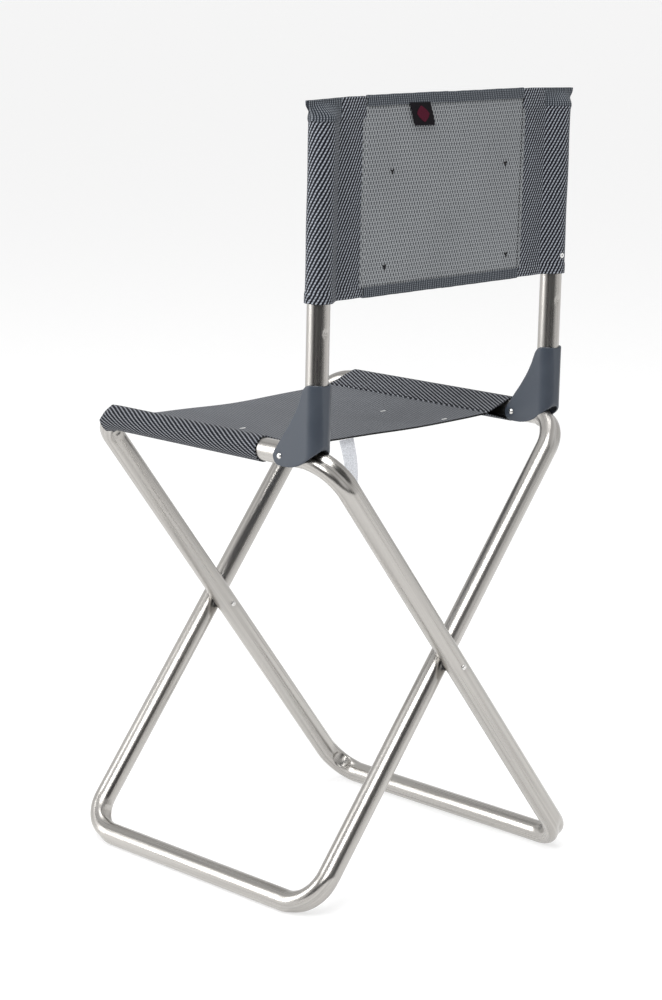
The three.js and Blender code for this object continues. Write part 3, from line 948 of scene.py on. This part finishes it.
def build_hem(side, name, label, low, high, seam):
    """A strip folded over the edge of the mesh, round at the fold."""
    u = np.linspace(POST_SPAN, seam + 0.5, 70)
    across = np.linspace(0, 1, 24)
    grid_t, grid_u = np.meshgrid(across, u, indexing="ij")
    height = high - low
    thick = 1.35
    path = np.abs(grid_t - 0.5) * 2 * (height + thick)
    down = np.clip(path - thick * 0.6, 0, None)
    ease = np.clip(path / (thick * 1.4), 0, 1)
    rear = 1.1 + np.where(grid_t < 0.5, 1, -1) * thick * np.sin(ease * math.pi / 2)
    edge = high if label == "top" else low
    sign = -1 if label == "top" else 1
    ripple = 0.25 * np.sin(grid_u / 7.0) + 0.2 * np.sin(grid_u / 2.9)
    h = edge + sign * down * height / (height + 0.4 * thick) + ripple * 0.3
    middle = back_place(side, grid_u, rear + 0.12 * ripple, h)
    lay = np.stack([side * (POST_SPAN - grid_u), path], -1)
    hem = cloth(f"back_hem_{label}_{name}", middle, lay, 0.7)
    return finish_piece(hem, f"back_cloth_{name}", HEM_CLOTH, "twill")


def build_back_details():
    """Seam threads, tri-lobed bar tacks and the eyelet."""
    for name, side in SIDES.items():
        seam = POST_SPAN - BACK_SEAM_X
        ends = []
        for h in np.arange(BACK_LOW + 2, BACK_HIGH - 2, 3.1):
            a, b = back_place(side, [seam + 0.8] * 2, [1.9] * 2, np.array([h, h + 1.9]))
            ends.append((a, b))
        thread = capsules(f"back_seam_{name}", ends, 0.38)
        finish_piece(thread, f"back_cloth_{name}", PALE_THREAD if side > 0 else THREAD, "twill")
    ring = [(1.1, 0.0), (2.3, 0.0), (2.5, 0.25), (2.35, 0.6), (1.8, 0.8), (1.2, 0.6)]
    eyelet = lathe("eyelet", ring, (0, 1, 0), back_place(-1, 0.0, TUBE_R + 1.7, 163.0), 32)
    finish_piece(eyelet, "back_cloth_right", EYELET, "eyelet", "back_eyelet_right")
    for k, (x, z) in enumerate(((77, 709), (-90, 708), (85, 621), (-96, 619))):
        side = 1 if x > 0 else -1
        centre = np.array([POST_SPAN - abs(x), z - RAIL_Z])
        ends = []
        for angle in (262, 28, 142):
            a = math.radians(angle)
            tip = centre + 3.0 * np.array([-side * math.cos(a), math.sin(a)])
            points = back_place(side, [centre[0], tip[0]], [2.0, 1.7], np.array([centre[1], tip[1]]))
            ends.append((points[0], points[1]))
        mark = capsules(f"tack_{k + 1}", ends, 0.75)
        finish_piece(mark, "back_cloth_left" if side > 0 else "back_cloth_right", THREAD, "dark_tag")


TAG_X, TAG_HALF_WIDE, TAG_SLANT = 42.0, 14.5, 7.5
TAG_TOP, TAG_TALL = 321.0, 21.5


def tag_grid(t, c, proud=0.0):
    """Points on the tag and where they lie on it, from shares of its height and half width."""
    x = TAG_X + TAG_HALF_WIDE * c - TAG_SLANT * t
    height = TAG_TOP - TAG_TALL * t + 0.3 * c
    rear = 3.0 + 0.9 * np.sin(t * 2.4) + 0.3 * c * t + proud
    return back_place(1, POST_SPAN - x, rear, height), np.stack([x, height], -1)


def build_tag():
    """A slanted dark tag under the top hem with a plain red lozenge woven on it."""
    t, c = np.meshgrid(np.linspace(0, 1, 14), np.linspace(-1, 1, 18), indexing="ij")
    tag = cloth("tag", *tag_grid(t, c), 0.7)
    finish_piece(tag, "back_cloth_left", TAG_CLOTH, "dark_tag", "back_tag")
    s, a = np.meshgrid(np.linspace(0.02, 1, 9), np.linspace(0, 2 * math.pi, 41), indexing="ij")
    corner = (np.abs(np.cos(a)) + np.abs(np.sin(a))) ** 0.6
    patch_t, patch_c = 0.5 + 0.36 * s * np.sin(a) / corner, 0.62 * s * np.cos(a) / corner
    patch = cloth("tag_lozenge", *tag_grid(patch_t, patch_c, proud=0.52), 0.3)
    finish_piece(patch, "back_cloth_left", TAG_RED, "dark_tag")


# --------------------------------------------------------------- assembly

for label, sign in SIDES.items():
    build_loop(sign, label)
    build_post(sign, label)
    build_bracket(sign, label)
    build_seat(sign, label)
    side_panel, cut_width = build_sleeve(sign, label)
    build_mesh(sign, label)
    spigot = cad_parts[f"rail_joint_spigot_{label}"]
    spigot.data.materials.clear()
    spigot.data.materials.append(bright_metal(f"spigot_metal_{label}", (0.7, 0.69, 0.67), 0.35))
build_rivets()
build_back_details()
build_tag()
build_label()
bar_tack("bar_tack_1", 113, -7, "seat_left")
bar_tack("bar_tack_2", -70, 4, "seat_right")
bar_tack("bar_tack_3", -81, 80, "seat_right")


# ------------------------------------------------------------ surroundings


def area_light(name, place, target, size, power, tone=(1.0, 1.0, 1.0)):
    data = bpy.data.lights.new(name, "AREA")
    data.shape, data.size, data.size_y = "RECTANGLE", size[0], size[1]
    data.energy, data.color = power, tone
    obj = bpy.data.objects.new(name, data)
    bpy.context.scene.collection.objects.link(obj)
    obj.location = place
    obj.rotation_mode = "QUATERNION"
    obj.rotation_quaternion = (Vector(target) - Vector(place)).to_track_quat("-Z", "Y")
    return obj


TO_BACKDROP = Vector((-0.694, -0.720, 0.0))  # level, the way the camera looks
FLOOR_HALF = 60.0
# black cloth on the camera's side, seen only in reflections
DARK_NEAR, DARK_FAR, DARK_HALF, DARK_HIGH = 1.1, 3.1, 3.5, 3.2


def build_floor():
    corners = [(x * FLOOR_HALF, y * FLOOR_HALF, 0) for x, y in ((-1, -1), (1, -1), (1, 1), (-1, 1))]
    mesh = bpy.data.meshes.new("floor")
    mesh.from_pydata(corners, [], [(0, 1, 2, 3)])
    floor = bpy.data.objects.new("floor", mesh)
    bpy.context.scene.collection.objects.link(floor)
    s = Shader("pale_floor")
    grain = s.noise(s.scaled(s.place(), (40.0, 40.0, 40.0)), detail=2.0)
    pale = s.blend(s.span(grain, 0.3, 0.7), (0.43, 0.43, 0.43), (0.45, 0.45, 0.45))
    s.set(Base_Color=pale, Roughness=0.9, Specular_IOR_Level=0.1)
    s.set(Emission_Color=(1.0, 1.0, 1.0), Emission_Strength=0.60)
    mesh.materials.append(s.material)


def build_dark_cloth():
    """Black cloth lying and hanging behind the camera, which keeps the tubes' faces from going white."""
    across = TO_BACKDROP.cross(Vector((0, 0, 1)))
    lying, hanging = -TO_BACKDROP * DARK_NEAR, -TO_BACKDROP * DARK_FAR
    lift = Vector((0, 0, 0.004))
    rows = [lying + lift, hanging + lift, hanging + Vector((0, 0, DARK_HIGH))]
    corners = [row + k * DARK_HALF * across for row in rows for k in (-1, 1)]
    mesh = bpy.data.meshes.new("dark_cloth")
    mesh.from_pydata(corners, [], [(0, 1, 3, 2), (2, 3, 5, 4)])
    cloth_screen = bpy.data.objects.new("dark_cloth", mesh)
    bpy.context.scene.collection.objects.link(cloth_screen)
    mesh.materials.append(plain_cloth("dark_cloth", (0.03, 0.03, 0.032)))
    cloth_screen.visible_camera = cloth_screen.visible_diffuse = cloth_screen.visible_shadow = False


build_floor()
build_dark_cloth()

CENTRE = (0.0, 0.0, 0.45)
area_light("side", (2.5, -1.9, 1.3), CENTRE, (1.0, 2.0), 48)
area_light("high", (2.0, 1.4, 3.0), CENTRE, (1.6, 1.6), 82)
area_light("top", (-0.3, -0.3, 3.4), CENTRE, (1.8, 1.8), 36)


def build_world():
    """An even pale surround, dimmer overhead."""
    world = bpy.data.worlds.new("studio")
    bpy.context.scene.world = world
    world.use_nodes = True
    tree = world.node_tree
    split = tree.nodes.new("ShaderNodeSeparateXYZ")
    tree.links.new(tree.nodes.new("ShaderNodeTexCoord").outputs["Generated"], split.inputs[0])
    dim = tree.nodes.new("ShaderNodeMapRange")
    dim.interpolation_type = "SMOOTHSTEP"
    tree.links.new(split.outputs[2], dim.inputs["Value"])
    for key, value in (("From Min", 0.15), ("From Max", 0.7), ("To Min", 0.86), ("To Max", 0.62)):
        dim.inputs[key].default_value = value
    background = tree.nodes["Background"]
    background.inputs[0].default_value = (1.0, 1.0, 1.0, 1.0)
    tree.links.new(dim.outputs[0], background.inputs[1])


build_world()
bpy.context.scene.view_settings.view_transform = "Standard"

CAMERA_PLACE = Vector((1.8210, 1.8878, 0.9126))
YAW, PITCH, ROLL = 0.7678, 0.2064, 0.0131
LENS = 95.4


def build_camera():
    forward = Vector((-math.sin(YAW) * math.cos(PITCH), -math.cos(YAW) * math.cos(PITCH), -math.sin(PITCH)))
    right = forward.cross(Vector((0, 0, 1))).normalized()
    up = right.cross(forward)
    c, s = math.cos(ROLL), math.sin(ROLL)
    x_axis, y_axis = c * right + s * up, -s * right + c * up
    data = bpy.data.cameras.new("camera")
    data.lens, data.sensor_width = LENS, 36.0
    data.clip_start, data.clip_end = 0.05, 200.0
    camera = bpy.data.objects.new("camera", data)
    bpy.context.scene.collection.objects.link(camera)
    turned = Matrix((x_axis, y_axis, -forward)).transposed().to_4x4()
    camera.matrix_world = Matrix.Translation(CAMERA_PLACE) @ turned
    bpy.context.scene.camera = camera


build_camera()

bpy.context.view_layer.update()
